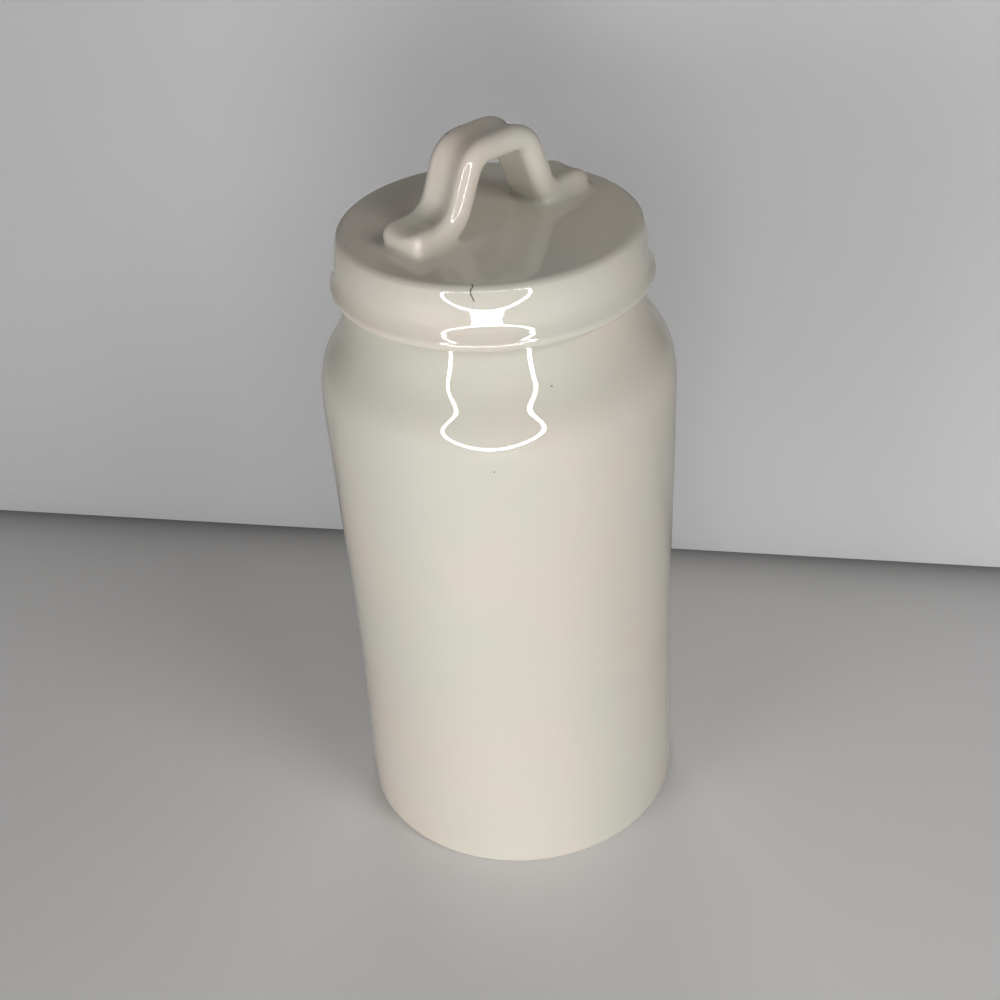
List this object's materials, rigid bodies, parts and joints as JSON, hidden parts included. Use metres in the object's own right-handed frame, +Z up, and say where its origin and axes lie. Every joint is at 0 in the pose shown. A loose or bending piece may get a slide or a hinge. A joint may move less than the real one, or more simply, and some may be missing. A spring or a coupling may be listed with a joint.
{
  "type": "cookie jar",
  "caption": "Tall straight-sided ceramic jar with a soft shoulder and short neck, closed by a beaded plug lid with a strap handle and a finned seal.",
  "frame": {"origin": "middle of the base, on the plane the foot ring stands on", "axes": "+Z up along the jar's axis, X along the handle, Y across it"},
  "size_m": [0.1278, 0.1278, 0.2791],
  "materials": {
    "jar_glaze": "gloss",
    "lid_glaze": "gloss",
    "handle_glaze": "gloss",
    "seal_silicone": "satin"
  },
  "bodies": {
    "jar": {"jar_body": "jar_glaze"},
    "seal": {"seal_ring": "seal_silicone"},
    "lid": {"lid": "lid_glaze", "lid_handle": "handle_glaze"}
  },
  "joints": [
    {"name": "lid_lift", "type": "slide", "parent": "jar", "child": "seal", "axis": [0, 0, 1], "range_m": [0, 0.12]},
    {"name": "lid_turn", "type": "hinge", "parent": "seal", "child": "lid", "pos_m": [0, 0, 0.2252], "axis": [0, 0, 1], "continuous": true}
  ]
}
